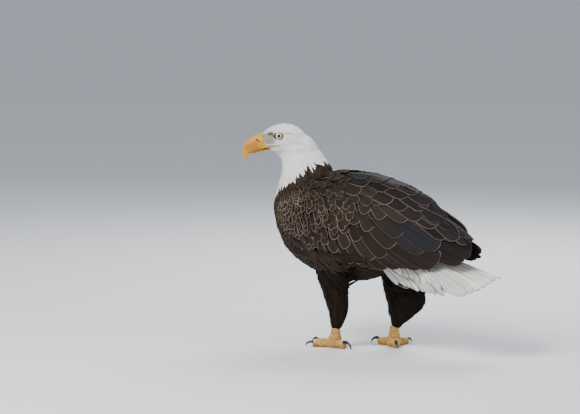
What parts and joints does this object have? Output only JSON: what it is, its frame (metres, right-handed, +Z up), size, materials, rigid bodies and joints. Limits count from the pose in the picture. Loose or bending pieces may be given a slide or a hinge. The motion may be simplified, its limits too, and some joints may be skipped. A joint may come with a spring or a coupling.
{
  "type": "bald eagle",
  "caption": "Life-size still model of a standing bald eagle, wings folded, white head and tail, head turned to its left, standing on the flats of both feet",
  "frame": {"origin": "centre of the bird's outline seen from above, on the floor it stands on", "axes": "+Z up; the bird faces -Y and its tail points along +Y; +X is the bird's own left side"},
  "size_m": [0.2192, 0.6516, 0.5185],
  "materials": {
    "white_feather": "soft matte feathers",
    "brown_feather": "matte feathers with pale edges",
    "dark_feather": "matte feathers",
    "cere": "waxy bare skin",
    "bill": "polished horn",
    "foot": "dry scaled skin",
    "talon": "polished black horn",
    "eye": "wet and glossy"
  },
  "bodies": {
    "root": {"trunk": "brown_feather", "neck": "white_feather", "head": "white_feather", "cere": "cere", "bill_upper": "bill", "bill_lower": "bill", "eye_left": "eye", "eye_right": "eye", "tail": "white_feather", "undertail_coverts": "white_feather", "wing_left": "brown_feather", "wing_right": "brown_feather", "thigh_left": "dark_feather", "thigh_right": "dark_feather", "foot_left": "foot", "foot_right": "foot", "talon_left_inner": "talon", "talon_left_middle": "talon", "talon_left_outer": "talon", "talon_left_hind": "talon", "talon_right_inner": "talon", "talon_right_middle": "talon", "talon_right_outer": "talon", "talon_right_hind": "talon"}
  },
  "joints": []
}
